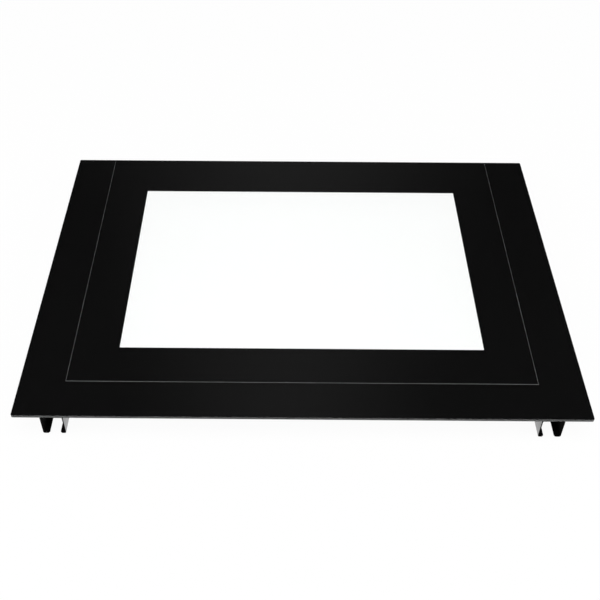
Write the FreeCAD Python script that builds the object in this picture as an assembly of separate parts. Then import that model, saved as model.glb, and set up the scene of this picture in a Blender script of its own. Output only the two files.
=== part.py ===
import FreeCAD, Part
import os
from FreeCAD import Vector

# Outer glass of an oven door, lying face up on the two rails bonded to its back.
# X runs along the door's width, Y up the door and Z out of the glass face, in millimetres.
# The origin is below the middle of the pane, level with the undersides of the rails' lips.

# Glass pane
pane_width = 595.0
pane_height = 440.0
glass_thickness = 4.0
pane_corner_radius = 2.0
ground_edge_radius = 0.6

# Enamel fired on the back of the pane, a frame round the clear window
enamel_thickness = 0.05
enamel_edge_gap = 0.1
side_border = 98.5
lower_border = 97.0
upper_border = 65.5

# Rails, each a lipped channel bent from one strip of sheet
sheet_thickness = 1.2
inside_bend_radius = 0.8
rail_width = 24.0
rail_depth = 26.0
outer_lip_width = 6.8
inner_lip_width = 6.0
lip_corner_clip = 1.5
pane_side_to_rail = 28.0
lower_edge_to_rail = 2.5
upper_edge_to_rail = 10.5

# Screw holes through the outer flange of each rail
screw_hole_diameter = 4.2
screw_hole_from_rail_end = 40.0
screw_hole_above_lips = 13.0

# Silicone strips between the rails and the pane
adhesive_thickness = 2.0
adhesive_width = 16.0
adhesive_end_gap = 8.0

# Levels and edges that several pieces share
enamel_back_z = rail_depth + adhesive_thickness
pane_back_z = enamel_back_z + enamel_thickness
pane_upper_y = pane_height / 2
pane_lower_y = -pane_upper_y
rail_outer_x = -pane_width / 2 + pane_side_to_rail
rail_inner_x = rail_outer_x + rail_width
rail_lower_y = pane_lower_y + lower_edge_to_rail
rail_upper_y = pane_upper_y - upper_edge_to_rail


def block(x_low, x_high, y_low, y_high, z_low, z_high):
    """A box between two values on each axis."""
    size = (x_high - x_low, y_high - y_low, z_high - z_low)
    return Part.makeBox(*size, Vector(x_low, y_low, z_low))


def edges_along(shape, axis):
    """The straight edges of a shape that run along an axis."""
    found = []
    for edge in shape.Edges:
        run = edge.Vertexes[-1].Point - edge.Vertexes[0].Point
        if abs(abs(run.dot(axis)) - edge.Length) < 1e-6:
            found.append(edge)
    return found


def glass_pane():
    """The pane, with rounded corners and its front and back edges ground round."""
    half_width = pane_width / 2
    plate = block(-half_width, half_width, pane_lower_y, pane_upper_y,
                  pane_back_z, pane_back_z + glass_thickness)
    plate = plate.makeFillet(pane_corner_radius, edges_along(plate, Vector(0, 0, 1)))
    upright = Vector(0, 0, 1)
    rims = []
    for face in plate.Faces:
        if abs(face.normalAt(0, 0).dot(upright)) > 0.99:
            rims.extend(face.Edges)
    grind = min(ground_edge_radius, 0.45 * glass_thickness, 0.9 * pane_corner_radius)
    return plate.makeFillet(grind, rims)


def enamel_border():
    """The black border, just inside the ground edge and open at the window."""
    edge_gap = ground_edge_radius + enamel_edge_gap
    half_width = pane_width / 2 - edge_gap
    outline = block(-half_width, half_width, pane_lower_y + edge_gap, pane_upper_y - edge_gap,
                    enamel_back_z, pane_back_z)
    half_window = pane_width / 2 - side_border
    window = block(-half_window, half_window, pane_lower_y + lower_border, pane_upper_y - upper_border,
                   enamel_back_z, pane_back_z)
    return outline.cut(window)


def channel_tube():
    """The rail before its slot is cut: a closed tube with round bends."""
    along = Vector(0, 1, 0)
    outside = block(rail_outer_x, rail_inner_x, rail_lower_y, rail_upper_y, 0, rail_depth)
    outside = outside.makeFillet(inside_bend_radius + sheet_thickness, edges_along(outside, along))
    inside = block(rail_outer_x + sheet_thickness, rail_inner_x - sheet_thickness,
                   rail_lower_y, rail_upper_y, sheet_thickness, rail_depth - sheet_thickness)
    inside = inside.makeFillet(inside_bend_radius, edges_along(inside, along))
    return outside.cut(inside)


def lip_slot():
    """The slot between the lips, flared at both ends where the lips' corners are clipped."""
    low_x = rail_outer_x + outer_lip_width
    high_x = rail_inner_x - inner_lip_width
    clip = lip_corner_clip
    outline = [
        Vector(low_x - clip, rail_lower_y, 0),
        Vector(low_x, rail_lower_y + clip, 0),
        Vector(low_x, rail_upper_y - clip, 0),
        Vector(low_x - clip, rail_upper_y, 0),
        Vector(high_x + clip, rail_upper_y, 0),
        Vector(high_x, rail_upper_y - clip, 0),
        Vector(high_x, rail_lower_y + clip, 0),
        Vector(high_x + clip, rail_lower_y, 0),
    ]
    face = Part.Face(Part.makePolygon(outline + outline[:1]))
    return face.extrude(Vector(0, 0, sheet_thickness))


def screw_holes():
    """The drills for the outer flange, one near each end of the rail."""
    holes = []
    for y in (rail_lower_y + screw_hole_from_rail_end, rail_upper_y - screw_hole_from_rail_end):
        start = Vector(rail_outer_x, y, screw_hole_above_lips)
        holes.append(Part.makeCylinder(screw_hole_diameter / 2, sheet_thickness, start, Vector(1, 0, 0)))
    return holes


def left_rail():
    """One lipped channel, its web against the adhesive and its slot facing down."""
    return channel_tube().cut([lip_slot()] + screw_holes())


def left_adhesive():
    """The strip that bonds the rail's web to the printed back of the pane."""
    middle_x = (rail_outer_x + rail_inner_x) / 2
    return block(middle_x - adhesive_width / 2, middle_x + adhesive_width / 2,
                 rail_lower_y + adhesive_end_gap, rail_upper_y - adhesive_end_gap,
                 rail_depth, enamel_back_z)


def mirrored(shape):
    """The same piece on the other side of the pane."""
    return shape.mirror(Vector(0, 0, 0), Vector(1, 0, 0))


def build():
    """Every piece of the door glass by name."""
    rail = left_rail()
    adhesive = left_adhesive()
    return {
        "glass_pane": glass_pane(),
        "enamel_border": enamel_border(),
        "left_rail": rail,
        "right_rail": mirrored(rail),
        "left_adhesive": adhesive,
        "right_adhesive": mirrored(adhesive),
    }


os.makedirs("parts", exist_ok=True)
for name, shape in build().items():
    solid = shape.Solids[0]
    print(name, len(shape.Solids), "solid", solid.isValid(), round(solid.Volume / 1000, 2), "cm3")
    solid.exportStep("parts/" + name + ".step")
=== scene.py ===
import math
import bmesh
import bpy
from mathutils import Matrix, Vector


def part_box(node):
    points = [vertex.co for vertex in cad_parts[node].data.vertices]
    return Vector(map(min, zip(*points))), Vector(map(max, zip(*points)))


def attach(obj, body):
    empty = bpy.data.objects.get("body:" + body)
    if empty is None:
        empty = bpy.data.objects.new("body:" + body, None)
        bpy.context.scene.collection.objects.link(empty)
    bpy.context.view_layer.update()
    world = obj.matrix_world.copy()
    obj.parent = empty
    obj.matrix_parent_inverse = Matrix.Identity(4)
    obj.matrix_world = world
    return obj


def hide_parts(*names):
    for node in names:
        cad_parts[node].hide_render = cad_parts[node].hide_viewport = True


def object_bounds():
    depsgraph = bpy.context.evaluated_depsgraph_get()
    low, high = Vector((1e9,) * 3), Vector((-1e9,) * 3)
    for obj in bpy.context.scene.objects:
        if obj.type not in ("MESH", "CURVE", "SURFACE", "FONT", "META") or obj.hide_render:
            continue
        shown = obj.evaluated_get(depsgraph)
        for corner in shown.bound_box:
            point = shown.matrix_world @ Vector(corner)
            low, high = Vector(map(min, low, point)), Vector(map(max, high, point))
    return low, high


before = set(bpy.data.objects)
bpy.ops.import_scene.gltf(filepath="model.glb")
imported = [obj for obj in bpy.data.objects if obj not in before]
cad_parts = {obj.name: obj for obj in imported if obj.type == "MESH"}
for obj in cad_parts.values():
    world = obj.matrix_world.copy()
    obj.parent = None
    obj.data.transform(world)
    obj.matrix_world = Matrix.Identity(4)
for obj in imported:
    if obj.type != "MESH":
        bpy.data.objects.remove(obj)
cadLow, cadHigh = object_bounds()
millimetre = 0.001
samePlace = 0.01 * millimetre
sameDirection = 0.999  # the cosine of about 2.5 degrees
print("frame loaded")


# Selecting and starting pieces
def onlyThis(piece):
    bpy.ops.object.select_all(action="DESELECT")
    piece.select_set(True)
    bpy.context.view_layer.objects.active = piece


def finishPlace(piece, name):
    piece.name = name
    piece.data.name = name
    onlyThis(piece)
    bpy.ops.object.transform_apply(location=True, rotation=True, scale=True)
    return piece


def addBlock(name, low, high):
    low, high = Vector(low), Vector(high)
    bpy.ops.object.select_all(action="DESELECT")
    bpy.ops.mesh.primitive_cube_add(size=1, location=(low + high) / 2)
    bpy.context.active_object.scale = high - low
    return finishPlace(bpy.context.active_object, name)


def addSheet(name, low, high, level):
    low, high = Vector((*low, level)), Vector((*high, level))
    bpy.ops.object.select_all(action="DESELECT")
    bpy.ops.mesh.primitive_plane_add(size=1, location=(low + high) / 2)
    bpy.context.active_object.scale = (high.x - low.x, high.y - low.y, 1)
    return finishPlace(bpy.context.active_object, name)


def edit(piece, kind="FACE"):
    onlyThis(piece)
    bpy.ops.object.mode_set(mode="EDIT")
    bpy.ops.mesh.select_mode(type=kind)
    bpy.ops.mesh.select_all(action="DESELECT")


def done():
    bpy.ops.object.mode_set(mode="OBJECT")


def pick(piece, faces=None, edges=None, verts=None):
    # selects what the given test holds for, and nothing else
    bpy.ops.mesh.select_all(action="DESELECT")
    mesh = bmesh.from_edit_mesh(piece.data)
    mesh.normal_update()
    for test, parts in ((faces, mesh.faces), (edges, mesh.edges), (verts, mesh.verts)):
        for part in parts:
            if test and test(part):
                part.select_set(True)
    mesh.select_flush_mode()
    bmesh.update_edit_mesh(piece.data)


def isAt(value, *places):
    return min(abs(value - place) for place in places) < samePlace


def runsAlong(edge, axis):
    run = (edge.verts[1].co - edge.verts[0].co).normalized()
    return abs(run[axis]) > sameDirection


def middleOf(edge):
    return (edge.verts[0].co + edge.verts[1].co) / 2


def cutAt(axis, value):
    # one straight cut through the whole piece
    normal = [0, 0, 0]
    normal[axis] = 1
    point = [0, 0, 0]
    point[axis] = value
    bpy.ops.mesh.select_all(action="SELECT")
    bpy.ops.mesh.bisect(plane_co=point, plane_no=normal)


def smooth(piece, degrees):
    onlyThis(piece)
    bpy.ops.object.shade_smooth_by_angle(angle=math.radians(degrees))


def applyModifier(piece, kind, **settings):
    onlyThis(piece)
    modifier = piece.modifiers.new(kind.lower(), kind)
    for setting, value in settings.items():
        setattr(modifier, setting, value)
    bpy.ops.object.modifier_apply(modifier=modifier.name)


def giveMaterials(piece, *names):
    # the first covers the piece, and giveFaces puts the others on
    for name in names:
        piece.data.materials.append(materials[name])


def giveFaces(piece, name, test):
    for face in piece.data.polygons:
        if test(face):
            face.material_index = piece.data.materials.find(name)


# Nodes
def feed(tree, socket, value):
    # another node's output is linked to the socket, and a plain value is set on it
    if isinstance(value, bpy.types.NodeSocket):
        tree.links.new(value, socket)
    else:
        socket.default_value = value


def objectNoise(tree, scale, detail, roughness=0.5, stretch=(1, 1, 1)):
    place = tree.nodes.new("ShaderNodeTexCoord")
    stretched = tree.nodes.new("ShaderNodeMapping")
    stretched.inputs["Scale"].default_value = stretch
    noise = tree.nodes.new("ShaderNodeTexNoise")
    for label, value in (("Scale", scale), ("Detail", detail), ("Roughness", roughness)):
        feed(tree, noise.inputs[label], value)
    tree.links.new(place.outputs["Object"], stretched.inputs["Vector"])
    tree.links.new(stretched.outputs["Vector"], noise.inputs["Vector"])
    return noise.outputs["Fac"]


def mapRange(tree, value, fromLow, fromHigh, toLow, toHigh):
    node = tree.nodes.new("ShaderNodeMapRange")
    ends = {"Value": value, "From Min": fromLow, "From Max": fromHigh, "To Min": toLow, "To Max": toHigh}
    for label, amount in ends.items():
        feed(tree, node.inputs[label], amount)
    return node.outputs["Result"]


def calculate(tree, operation, *values):
    node = tree.nodes.new("ShaderNodeMath")
    node.operation = operation
    for socket, value in zip(node.inputs, values):
        feed(tree, socket, value)
    return node.outputs[0]


def grey(level):
    return (level, level, level, 1)


# Groups that several materials share
def newGroup(name, inputs, output):
    group = bpy.data.node_groups.new(name, "ShaderNodeTree")
    for label, value in inputs.items():
        socket = group.interface.new_socket(label, in_out="INPUT", socket_type="NodeSocketFloat")
        socket.default_value = value
    group.interface.new_socket(output, in_out="OUTPUT", socket_type="NodeSocketFloat")
    return group, group.nodes.new("NodeGroupInput"), group.nodes.new("NodeGroupOutput")


# The level of its noise at which each part of the dust begins and, for the haze, where it is full
dust = {"rarestSpeck": 0.95, "speckDetail": 2, "hazeFrom": 0.35, "hazeFull": 0.75,
        "haze": {"scale": 14, "detail": 5, "roughness": 0.6}}


def makeDustGroup():
    # settled specks and a soft haze between them
    group, given, result = newGroup("settledDust", {"Speck Scale": 900.0, "Cover": 0.3, "Haze": 0.2}, "Mask")
    specks = objectNoise(group, given.outputs["Speck Scale"], dust["speckDetail"])
    speckFrom = calculate(group, "SUBTRACT", dust["rarestSpeck"], given.outputs["Cover"])
    speckMask = mapRange(group, specks, speckFrom, 1.0, 0.0, 1.0)
    haze = objectNoise(group, **dust["haze"])
    hazeMask = mapRange(group, haze, dust["hazeFrom"], dust["hazeFull"], 0.0, given.outputs["Haze"])
    mask = calculate(group, "ADD", speckMask, hazeMask)
    mask.node.use_clamp = True
    group.links.new(mask, result.inputs["Mask"])
    return group


def makeGrainGroup():
    # a fine uneven skin, as on paint, ground glass and silicone
    inputs = {"Grain Scale": 700.0, "Ripple Scale": 60.0, "Ripple Share": 0.5}
    group, given, result = newGroup("fineGrain", inputs, "Height")
    grain = objectNoise(group, given.outputs["Grain Scale"], detail=3)
    ripple = objectNoise(group, given.outputs["Ripple Scale"], detail=2)
    mix = group.nodes.new("ShaderNodeMix")
    group.links.new(given.outputs["Ripple Share"], mix.inputs["Factor"])
    group.links.new(grain, mix.inputs["A"])
    group.links.new(ripple, mix.inputs["B"])
    group.links.new(mix.outputs["Result"], result.inputs["Height"])
    return group


groups = {"dust": makeDustGroup(), "grain": makeGrainGroup()}

# Over this part of each pattern the roughness goes from its first end to its second
spans = {"dust": (0.0, 1.0), "grain": (0.3, 0.7), "noise": (0.3, 0.7)}
glassIor = 1.52

# Finishes: what is plain all over them, their patterns, and which pattern varies the tone from dark to pale,
# the roughness between two ends, and the relief, with its strength and its depth in metres
finishes = {
    "polishedGlass": {  # clear, hardly green, with the slow roller wave that toughening leaves
        "plain": {"Base Color": (0.985, 0.996, 0.99, 1), "IOR": glassIor, "Transmission Weight": 1.0},
        "dust": {"Speck Scale": 1400.0, "Cover": 0.12, "Haze": 0.25},
        "noise": {"scale": 3.0, "detail": 1, "stretch": (0.6, 1.6, 1)},
        "roughness": ("dust", 0.004, 0.06),
        "relief": ("noise", 0.12, 2.0 * millimetre),
    },
    "groundGlass": {  # the edge as the wheel leaves it: fine ground, slightly green
        "plain": {"IOR": glassIor, "Transmission Weight": 0.96},
        "grain": {"Grain Scale": 2600.0, "Ripple Scale": 420.0, "Ripple Share": 0.15},
        "tone": ("grain", (0.80, 0.88, 0.86), (0.90, 0.96, 0.94)),
        "roughness": ("grain", 0.1, 0.25),
        "relief": ("grain", 0.3, 0.1 * millimetre),
    },
    "enamelBehindGlass": {  # the fired face that shows through the pane: no gloss of its own
        "plain": {"Roughness": 0.6, "Specular IOR Level": 0.0},
        "noise": {"scale": 9, "detail": 3},
        "tone": ("noise", (0.0011, 0.0011, 0.0012), (0.0019, 0.0019, 0.0020)),
    },
    "enamelBack": {  # the bare fired side: satin black with pinholes and a print mesh's faint texture
        "plain": {},
        "dust": {"Speck Scale": 1100.0, "Cover": 0.2, "Haze": 0.5},
        "grain": {"Grain Scale": 2200.0, "Ripple Scale": 260.0, "Ripple Share": 0.3},
        "tone": ("dust", (0.010, 0.010, 0.011), (0.032, 0.031, 0.030)),
        "roughness": ("grain", 0.34, 0.5),
        "relief": ("grain", 0.25, 0.05 * millimetre),
    },
    "greyPrint": {  # thin grey ink, a little uneven along its run
        "plain": {"Roughness": 0.6, "Specular IOR Level": 0.0},
        "grain": {"Grain Scale": 1500.0, "Ripple Scale": 120.0, "Ripple Share": 0.5},
        "tone": ("grain", (0.24, 0.245, 0.25), (0.35, 0.355, 0.36)),
    },
    "railPaint": {  # black stoved paint: glossy, with a little orange peel and a dusting
        "plain": {"IOR": 1.7, "Coat Weight": 1.0, "Coat Roughness": 0.03, "Coat IOR": 1.7},
        "dust": {"Speck Scale": 1300.0, "Cover": 0.22, "Haze": 0.35},
        "grain": {"Grain Scale": 900.0, "Ripple Scale": 240.0, "Ripple Share": 0.5},
        "tone": ("dust", (0.002, 0.002, 0.002), (0.02, 0.019, 0.017)),
        "roughness": ("dust", 0.05, 0.2),
        "relief": ("grain", 0.06, 0.1 * millimetre),
    },
    "railCutEdge": {  # the sheared edge, where the paint is dull over fine drag marks
        "plain": {"Specular IOR Level": 0.01},
        "noise": {"scale": 1500, "detail": 3, "stretch": (1, 1, 0.1)},
        "tone": ("noise", (0.002, 0.002, 0.002), (0.007, 0.0065, 0.006)),
        "roughness": ("noise", 0.5, 0.75),
        "relief": ("noise", 0.3, 0.1 * millimetre),
    },
    "railInsidePaintedShade": {  # the inside of the channel: the rail's black paint with a dusting, dull and rough, but made darker and without the paint's gloss as painted shade for the channel's hollow
        "plain": {"Specular IOR Level": 0.01},
        "dust": {"Speck Scale": 1000.0, "Cover": 0.3, "Haze": 0.5},
        "grain": {"Grain Scale": 1800.0, "Ripple Scale": 200.0, "Ripple Share": 0.3},
        "tone": ("dust", (0.0015, 0.0015, 0.0016), (0.012, 0.0115, 0.011)),
        "roughness": ("grain", 0.5, 0.7),
        "relief": ("grain", 0.4, 0.1 * millimetre),
    },
    "blackSilicone": {  # cured silicone: rubbery and finely pitted, with dust held on it
        "plain": {},
        "dust": {"Speck Scale": 1500.0, "Cover": 0.25, "Haze": 0.4},
        "grain": {"Grain Scale": 500.0, "Ripple Scale": 130.0, "Ripple Share": 0.6},
        "tone": ("dust", (0.012, 0.012, 0.012), (0.045, 0.044, 0.042)),
        "roughness": ("grain", 0.35, 0.55),
        "relief": ("grain", 0.4, 0.2 * millimetre),
    },
}


def makePatterns(tree, look):
    patterns = {}
    for name, group in groups.items():
        if name in look:
            node = tree.nodes.new("ShaderNodeGroup")
            node.node_tree = group
            for label, value in look[name].items():
                node.inputs[label].default_value = value
            patterns[name] = node.outputs[0]
    if "noise" in look:
        patterns["noise"] = objectNoise(tree, **look["noise"])
    return patterns


def makeMaterial(name, look):
    material = bpy.data.materials.new(name)
    material.use_nodes = True
    tree = material.node_tree
    shader = tree.nodes["Principled BSDF"]
    for label, value in look["plain"].items():
        shader.inputs[label].default_value = value
    patterns = makePatterns(tree, look)
    if "tone" in look:
        pattern, dark, pale = look["tone"]
        mix = tree.nodes.new("ShaderNodeMix")
        mix.data_type = "RGBA"
        mix.inputs["A"].default_value = (*dark, 1)
        mix.inputs["B"].default_value = (*pale, 1)
        tree.links.new(patterns[pattern], mix.inputs["Factor"])
        tree.links.new(mix.outputs["Result"], shader.inputs["Base Color"])
    if "roughness" in look:
        pattern, first, second = look["roughness"]
        roughness = mapRange(tree, patterns[pattern], *spans[pattern], first, second)
        tree.links.new(roughness, shader.inputs["Roughness"])
    if "relief" in look:
        pattern, strength, depth = look["relief"]
        bump = tree.nodes.new("ShaderNodeBump")
        bump.inputs["Strength"].default_value = strength
        bump.inputs["Distance"].default_value = depth
        tree.links.new(patterns[pattern], bump.inputs["Height"])
        tree.links.new(bump.outputs["Normal"], shader.inputs["Normal"])
    return material


materials = {name: makeMaterial(name, look) for name, look in finishes.items()}
print("materials made")


# The pane. A face that leans less than "upright" is its ground edge; "rimFrom" is a share of its half size
pane = {"cornerRadius": 2.0 * millimetre, "cornerSteps": 8, "edgeRadius": 0.6 * millimetre, "edgeSteps": 6,
        "holdingRing": 0.1 * millimetre, "upright": 0.05, "rimFrom": 0.9, "smoothBelow": 40}


def makePane():
    low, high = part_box("glass_pane")
    piece = addBlock("glassPane", low, high)
    edit(piece, "EDGE")
    pick(piece, edges=lambda e: runsAlong(e, 2))
    bpy.ops.mesh.bevel(offset=pane["cornerRadius"], segments=pane["cornerSteps"], affect="EDGES")
    pick(piece, edges=lambda e: isAt(e.verts[0].co.z, e.verts[1].co.z))
    bpy.ops.mesh.bevel(offset=pane["edgeRadius"], segments=pane["edgeSteps"], affect="EDGES")
    bpy.ops.mesh.select_mode(type="FACE")
    pick(piece, faces=lambda f: abs(f.normal.z) > sameDirection)
    bpy.ops.mesh.inset(thickness=pane["holdingRing"])
    done()
    giveMaterials(piece, "polishedGlass", "groundGlass", "enamelBehindGlass")

    def nearRim(face):
        return any(abs(face.center[axis]) > high[axis] * pane["rimFrom"] for axis in (0, 1))

    # only the upright face is left ground, and the enamel runs out over the lower rounding
    giveFaces(piece, "groundGlass", lambda f: abs(f.normal.z) < pane["upright"])
    giveFaces(piece, "enamelBehindGlass", lambda f: f.normal.z < -pane["upright"] and nearRim(f))
    smooth(piece, pane["smoothBelow"])
    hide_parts("glass_pane")
    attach(piece, "root")


makePane()
print("pane made")


# The enamel, its upper face sunk a hair into the glass so that the two join with no air between
enamel = {"sunk": 0.02 * millimetre, "sideBorder": 98.5 * millimetre, "lowerBorder": 97.0 * millimetre,
          "upperBorder": 65.5 * millimetre}


def makeEnamel():
    low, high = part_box("enamel_border")
    glassLow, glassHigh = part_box("glass_pane")
    piece = addBlock("enamelBorder", low, (high[0], high[1], high[2] + enamel["sunk"]))
    left = glassLow[0] + enamel["sideBorder"]
    right = glassHigh[0] - enamel["sideBorder"]
    lower = glassLow[1] + enamel["lowerBorder"]
    upper = glassHigh[1] - enamel["upperBorder"]
    edit(piece)
    for axis, value in ((0, left), (0, right), (1, lower), (1, upper)):
        cutAt(axis, value)

    def inWindow(face):
        middle = face.calc_center_median()
        isLevel = abs(face.normal.z) > sameDirection
        return isLevel and left < middle.x < right and lower < middle.y < upper

    pick(piece, faces=inWindow)
    bpy.ops.mesh.bridge_edge_loops()
    done()
    giveMaterials(piece, "enamelBack", "enamelBehindGlass")
    giveFaces(piece, "enamelBehindGlass", lambda f: f.normal.z > sameDirection)
    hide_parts("enamel_border")
    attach(piece, "root")


makeEnamel()
print("enamel made")


# The thin printed line round three sides, open towards the door's upper edge
line = {"halfSpan": 249.5 * millimetre, "aboveLowerEdge": 48.2 * millimetre, "width": 0.6 * millimetre,
        "sideWidth": 0.32 * millimetre, "sunk": 0.035 * millimetre, "thick": 0.03 * millimetre}


def makeLine():
    low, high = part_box("enamel_border")
    glassLow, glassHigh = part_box("glass_pane")
    foot = glassLow[1] + line["aboveLowerEdge"]
    half = line["width"] / 2
    outside = line["halfSpan"] + line["sideWidth"] / 2
    within = line["halfSpan"] - line["sideWidth"] / 2
    piece = addSheet("printedLine", (-outside, foot - half), (outside, high[1]), glassLow[2] + line["sunk"])
    edit(piece)
    for axis, value in ((0, -within), (0, within), (1, foot + half)):
        cutAt(axis, value)

    def isInside(face):
        middle = face.calc_center_median()
        return abs(middle.x) < within and middle.y > foot + half

    pick(piece, faces=isInside)
    bpy.ops.mesh.delete(type="FACE")
    done()
    applyModifier(piece, "SOLIDIFY", thickness=line["thick"], offset=-1)
    giveMaterials(piece, "greyPrint")
    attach(piece, "root")


makeLine()
print("line made")


def makeRight(piece, name):
    # the same piece on the other side, with a mesh of its own
    onlyThis(piece)
    bpy.ops.object.duplicate()
    other = bpy.context.active_object
    other.scale = (-1, 1, 1)
    finishPlace(other, name)
    edit(other)
    bpy.ops.mesh.select_all(action="SELECT")
    bpy.ops.mesh.normals_make_consistent(inside=False)
    done()
    return other


# The rails, folded from a sheet as the real ones are
rail = {"sheet": 1.2 * millimetre, "insideBend": 0.8 * millimetre, "bendSteps": 8,
        "outerLip": 6.8 * millimetre, "innerLip": 6.0 * millimetre, "lipClip": 1.5 * millimetre,
        "holeRadius": 2.1 * millimetre, "holeSides": 48, "drillLength": 7.2 * millimetre,
        "holeFromEnd": 40.0 * millimetre, "holeHeight": 13.0 * millimetre,
        "brokenEdge": 0.12 * millimetre, "brokenSteps": 2, "sharpAbove": 50, "smoothBelow": 35}


def drillFlange(piece, place):
    bpy.ops.object.select_all(action="DESELECT")
    bpy.ops.mesh.primitive_cylinder_add(
        vertices=rail["holeSides"], radius=rail["holeRadius"], depth=rail["drillLength"],
        location=place, rotation=(0, math.pi / 2, 0)
    )
    drill = bpy.context.active_object
    applyModifier(piece, "BOOLEAN", object=drill, operation="DIFFERENCE", solver="EXACT")
    bpy.data.objects.remove(drill)


def makeLeftRail():
    # the middle of the sheet is folded first, and gets its thickness once it is bent
    low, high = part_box("left_rail")
    half = rail["sheet"] / 2
    outer, inner = low[0] + half, high[0] - half
    top, bottom = high[2] - half, low[2] + half
    piece = addSheet("leftRail", (outer, low[1]), (inner, high[1]), top)
    edit(piece, "EDGE")
    pick(piece, edges=lambda e: runsAlong(e, 1))
    bpy.ops.mesh.extrude_edges_move(TRANSFORM_OT_translate={"value": (0, 0, bottom - top)})
    for x, width in ((outer, rail["outerLip"]), (inner, -rail["innerLip"])):

        def isFoot(edge):
            middle = middleOf(edge)
            return runsAlong(edge, 1) and isAt(middle.x, x) and isAt(middle.z, bottom)

        pick(piece, edges=isFoot)
        run = width - math.copysign(half, width)
        bpy.ops.mesh.extrude_edges_move(TRANSFORM_OT_translate={"value": (run, 0, 0)})
    freeEdges = (low[0] + rail["outerLip"], high[0] - rail["innerLip"])
    bpy.ops.mesh.select_mode(type="VERT")
    pick(piece, verts=lambda v: isAt(v.co.x, *freeEdges) and isAt(v.co.z, bottom))
    bpy.ops.mesh.bevel(offset=rail["lipClip"], affect="VERTICES")
    bpy.ops.mesh.select_mode(type="EDGE")
    pick(piece, edges=lambda e: runsAlong(e, 1) and isAt(middleOf(e).x, outer, inner))
    bpy.ops.mesh.bevel(offset=rail["insideBend"] + half, segments=rail["bendSteps"], affect="EDGES")
    bpy.ops.mesh.select_all(action="SELECT")
    bpy.ops.mesh.normals_make_consistent(inside=False)
    done()
    giveMaterials(piece, "railPaint", "railCutEdge", "railInsidePaintedShade")
    slots = piece.data.materials
    # the channel's inner faces get the darker, glossless copy of the paint, which paints in the shade inside
    # the channel
    applyModifier(piece, "SOLIDIFY", thickness=rail["sheet"], offset=0, use_even_offset=True,
                  material_offset_rim=slots.find("railCutEdge"), material_offset=slots.find("railInsidePaintedShade"))
    for y in (low[1] + rail["holeFromEnd"], high[1] - rail["holeFromEnd"]):
        drillFlange(piece, (low[0], y, low[2] + rail["holeHeight"]))
    applyModifier(piece, "BEVEL", width=rail["brokenEdge"], segments=rail["brokenSteps"],
                  limit_method="ANGLE", angle_limit=math.radians(rail["sharpAbove"]))
    smooth(piece, rail["smoothBelow"])
    return piece


leftRail = makeLeftRail()
for piece, node in ((leftRail, "left_rail"), (makeRight(leftRail, "rightRail"), "right_rail")):
    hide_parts(node)
    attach(piece, "root")
print("rails made")


# The silicone strips, with the uneven bulge of a pressed bead; "sidesFrom" is a share of the half width
bead = {"steps": 140, "bulge": 0.5 * millimetre, "waver": 1.6 * millimetre, "waveLength": 30.0 * millimetre,
        "sidesFrom": 0.9, "smoothBelow": 60}


def makeLeftBead():
    low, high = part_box("left_adhesive")
    middle = (low[2] + high[2]) / 2
    centre = (low[0] + high[0]) / 2
    piece = addBlock("leftBead", low, high)
    edit(piece, "EDGE")
    for step in range(1, bead["steps"]):
        cutAt(1, low[1] + (high[1] - low[1]) * step / bead["steps"])
    cutAt(2, middle)
    pick(piece, verts=lambda v: isAt(v.co.x, low[0], high[0]) and isAt(v.co.z, middle))
    spread = 1 + bead["bulge"] / (high[0] - centre)
    bpy.ops.transform.resize(value=(spread, 1, 1), center_override=(centre, 0, middle))
    done()
    sides = piece.vertex_groups.new(name="sides")
    reach = (high[0] - centre) * bead["sidesFrom"]
    sides.add([v.index for v in piece.data.vertices if abs(v.co.x - centre) > reach], 1, "REPLACE")
    clouds = bpy.data.textures.new("beadWaver", "CLOUDS")
    clouds.noise_scale = bead["waveLength"]
    applyModifier(piece, "DISPLACE", texture=clouds, strength=bead["waver"], direction="X", mid_level=0.5,
                  texture_coords="LOCAL", vertex_group="sides")
    giveMaterials(piece, "blackSilicone")
    smooth(piece, bead["smoothBelow"])
    return piece


leftBead = makeLeftBead()
for piece, node in ((leftBead, "left_adhesive"), (makeRight(leftBead, "rightBead"), "right_adhesive")):
    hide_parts(node)
    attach(piece, "root")
print("beads made")


# The studio's floor. "lift" is the share of plain white in it, and "throughGlass" that white's strength there
floor = {"side": 60.0, "below": 0.1 * millimetre, "shade": 0.86, "lift": 0.955, "throughGlass": 1.14}


def mixShaders(tree, share, first, second):
    mix = tree.nodes.new("ShaderNodeMixShader")
    for socket, value in zip(mix.inputs, (share, first, second)):
        tree.links.new(value, socket)
    return mix.outputs[0]


def makeFloor():
    # white to the camera, in the gloss and through the glass, and clear from below
    reach = floor["side"] / 2
    piece = addSheet("studioFloor", (-reach, -reach), (reach, reach), cadLow.z - floor["below"])
    material = bpy.data.materials.new("studioFloor")
    material.use_nodes = True
    tree = material.node_tree
    tree.nodes.clear()
    plain = tree.nodes.new("ShaderNodeBsdfDiffuse")
    plain.inputs["Color"].default_value = grey(floor["shade"])
    white = tree.nodes.new("ShaderNodeEmission")
    path = tree.nodes.new("ShaderNodeLightPath")
    strength = mapRange(tree, path.outputs["Is Transmission Ray"], 0.0, 1.0, 1.0, floor["throughGlass"])
    tree.links.new(strength, white.inputs["Strength"])
    seen = path.outputs["Is Camera Ray"]
    for label in ("Is Glossy Ray", "Is Transmission Ray"):
        seen = calculate(tree, "MAXIMUM", seen, path.outputs[label])
    share = calculate(tree, "MULTIPLY", seen, floor["lift"])
    lifted = mixShaders(tree, share, plain.outputs[0], white.outputs[0])
    side = tree.nodes.new("ShaderNodeNewGeometry")
    clear = tree.nodes.new("ShaderNodeBsdfTransparent")
    oneSided = mixShaders(tree, side.outputs["Backfacing"], lifted, clear.outputs[0])
    output = tree.nodes.new("ShaderNodeOutputMaterial")
    tree.links.new(oneSided, output.inputs["Surface"])
    piece.data.materials.append(material)


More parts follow.
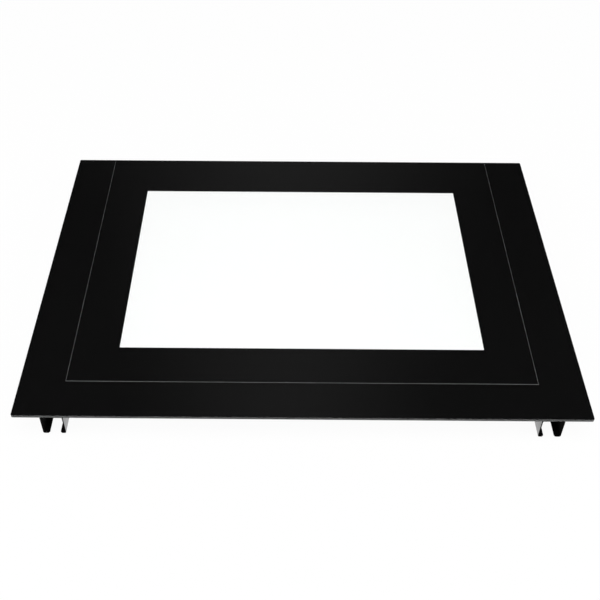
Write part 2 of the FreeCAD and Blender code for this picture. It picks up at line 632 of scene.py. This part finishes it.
# What surrounds it: brightness by height, in degrees above the horizon, and a glow as wide as its spread
studio = {"horizon": 1.0, "high": 0.043, "zenith": 0.12, "whiteUpTo": 10.0, "darkFrom": 30.0,
          "glow": 0.115, "glowSpread": 0.29, "glowFadesFrom": 50.0, "glowGoneAt": 72.0}


def heightAt(degrees):
    return math.sin(math.radians(degrees))


def makeStudioWorld():
    # a white horizon under a dim ceiling, which is what the black glass mirrors
    world = bpy.data.worlds.new("studioWorld")
    bpy.context.scene.world = world
    world.use_nodes = True
    tree = world.node_tree
    place = tree.nodes.new("ShaderNodeTexCoord")
    split = tree.nodes.new("ShaderNodeSeparateXYZ")
    tree.links.new(place.outputs["Generated"], split.inputs[0])
    ramp = tree.nodes.new("ShaderNodeValToRGB")
    ramp.color_ramp.interpolation = "EASE"
    stops = ramp.color_ramp.elements
    stops[0].position = heightAt(studio["whiteUpTo"])
    stops[0].color = grey(studio["horizon"])
    stops[1].position = heightAt(studio["darkFrom"])
    stops[1].color = grey(studio["high"])
    stops.new(1.0).color = grey(studio["zenith"])
    tree.links.new(split.outputs["Z"], ramp.inputs["Fac"])

    # a faint glow straight ahead and behind, fading to both sides and towards the zenith
    aside = calculate(tree, "ABSOLUTE", calculate(tree, "DIVIDE", split.outputs["X"], split.outputs["Y"]))
    sideFade = mapRange(tree, aside, 0.0, studio["glowSpread"], studio["glow"], 0.0)
    fadesFrom, goneAt = heightAt(studio["glowFadesFrom"]), heightAt(studio["glowGoneAt"])
    upperFade = mapRange(tree, split.outputs["Z"], fadesFrom, goneAt, 1.0, 0.0)
    for fade in (sideFade, upperFade):
        fade.node.interpolation_type = "SMOOTHSTEP"
    add = tree.nodes.new("ShaderNodeMix")
    add.data_type = "RGBA"
    add.blend_type = "ADD"
    add.inputs["Factor"].default_value = 1.0
    tree.links.new(ramp.outputs["Color"], add.inputs["A"])
    tree.links.new(calculate(tree, "MULTIPLY", sideFade, upperFade), add.inputs["B"])
    tree.links.new(add.outputs["Result"], tree.nodes["Background"].inputs["Color"])


lamps = {
    "overheadLamp": {"place": (0, -0.55, 2.3), "aim": (0, -0.1, 0), "wide": 2.6, "deep": 1.7, "watts": 48},
    "leftLamp": {"place": (-2.2, -0.9, 1.3), "aim": (0, 0, 0), "wide": 1.4, "deep": 1.2, "watts": 22},
    "rightLamp": {"place": (2.2, -0.9, 1.3), "aim": (0, 0, 0), "wide": 1.4, "deep": 1.2, "watts": 22},
}


def makeLamps():
    for name, lamp in lamps.items():
        data = bpy.data.lights.new(name, "AREA")
        data.shape = "RECTANGLE"
        data.size, data.size_y, data.energy = lamp["wide"], lamp["deep"], lamp["watts"]
        light = bpy.data.objects.new(name, data)
        bpy.context.collection.objects.link(light)
        light.location = lamp["place"]
        light.visible_glossy = False  # its square reflection would cut across the black glass
        aim = Vector(lamp["aim"]) - Vector(lamp["place"])
        light.rotation_euler = aim.to_track_quat("-Z", "Y").to_euler()


# The camera: its place and farthest view in metres, its aim in degrees, its sensor in millimetres, and its
# focal length and its lens's centre in pixels of the frame
camera = {"place": (-0.0173, -0.8182, 0.7815), "down": 44.262, "right": -0.112, "roll": 0.344,
          "focal": 935.9, "frame": 600, "lensCentre": 285, "sensor": 36, "farthest": 200}


def makeCamera():
    data = bpy.data.cameras.new("camera")
    data.sensor_width = camera["sensor"]
    data.lens = camera["focal"] / camera["frame"] * camera["sensor"]
    data.shift_x = 0.5 - camera["lensCentre"] / camera["frame"]
    data.clip_end = camera["farthest"]
    eye = bpy.data.objects.new("camera", data)
    bpy.context.collection.objects.link(eye)
    turn = Matrix.Rotation(-math.radians(camera["right"]), 4, "Z")
    turn = turn @ Matrix.Rotation(math.radians(90 - camera["down"]), 4, "X")
    turn = turn @ Matrix.Rotation(math.radians(camera["roll"]), 4, "Z")
    eye.matrix_world = Matrix.Translation(camera["place"]) @ turn
    bpy.context.scene.camera = eye


makeFloor()
makeStudioWorld()
makeLamps()
makeCamera()
bpy.context.scene.view_settings.view_transform = "Standard"
print("studio made")
